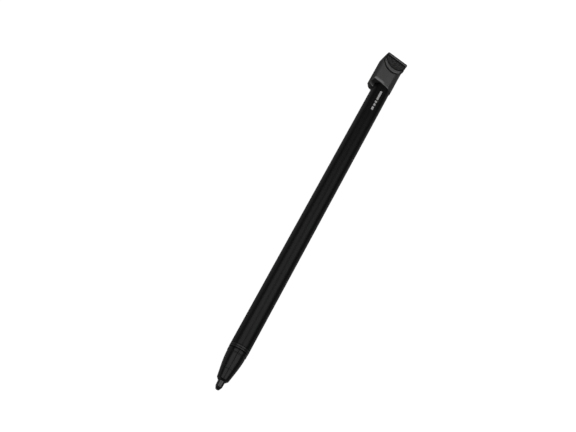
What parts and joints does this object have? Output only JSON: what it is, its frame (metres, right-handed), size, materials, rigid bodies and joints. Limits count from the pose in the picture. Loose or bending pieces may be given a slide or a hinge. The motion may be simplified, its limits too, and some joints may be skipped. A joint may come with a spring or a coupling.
{
  "type": "garaged stylus pen",
  "caption": "Slim black stylus pen for a portable device's slot: round barrel, sprung replaceable nib, charging contact rings and a keyed pull cap with a nail catch.",
  "frame": {"origin": "on the pen's axis, where the full-size barrel ends, just in front of the cap's key rib, which is the insertion stop side of the sliding fit", "axes": "+X along the pen from nib to cap, +Z out of the flat front face with the nail catch, +Y towards the cap's key rib"},
  "size_m": [0.1214, 0.0076, 0.0065],
  "materials": {
    "barrel_metal": "black satin anodised",
    "nose_plastic": "black, fine satin moulding",
    "nib_plastic": "black acetal, lightly polished by use",
    "cap_plastic": "charcoal, satin moulding",
    "contact_metal": "black nickel plated",
    "washer_plastic": "black insulator",
    "holder_plastic": "natural acetal",
    "elastomer": "black silicone",
    "spring_steel": "drawn wire",
    "electrode_brass": "turned and plated",
    "sensor_shell": "dark grey glass-filled",
    "sensor_ceramic": "fired ceramic",
    "chassis_plastic": "dark grey moulding",
    "board_laminate": "green solder mask",
    "chip_resin": "black moulded resin",
    "crystal_can": "nickel can",
    "passive_body": "tan ceramic with tinned ends",
    "lead_copper": "tinned copper strip",
    "flex_film": "amber polyimide film",
    "cell_can": "drawn can in a clear sleeve",
    "foam": "closed-cell foam"
  },
  "bodies": {
    "root": {"barrel": "barrel_metal", "board_passives": "passive_body", "cap": "cap_plastic", "cap_seal": "elastomer", "cell_tabs": "lead_copper", "charge_chip": "chip_resin", "chassis": "chassis_plastic", "contact_leads": "lead_copper", "controller_chip": "chip_resin", "crystal": "crystal_can", "foam_pad": "foam", "front_contact_ring": "contact_metal", "ground_spring": "lead_copper", "insulating_washers": "washer_plastic", "main_board": "board_laminate", "nose_cone": "nose_plastic", "nose_tip": "nose_plastic", "power_cell": "cell_can", "rear_contact_ring": "contact_metal", "return_spring": "spring_steel", "sensor_disc": "sensor_ceramic", "sensor_flex": "flex_film", "sensor_housing": "sensor_shell", "sensor_pad": "elastomer", "tilt_electrode": "electrode_brass"},
    "nib_carrier": {"nib_holder": "holder_plastic", "nib_grip_ring": "elastomer"},
    "nib": {"nib": "nib_plastic"}
  },
  "joints": [
    {"name": "nib_press", "type": "slide", "parent": "root", "child": "nib_carrier", "axis": [1, 0, 0], "range_m": [0, 0.0003], "stiffness_N_per_m": 2000, "springref_m": -0.0001, "deforming": ["return_spring"]},
    {"name": "nib_pull", "type": "slide", "parent": "nib_carrier", "child": "nib", "axis": [-1, 0, 0], "range_m": [0, 0.014]}
  ]
}
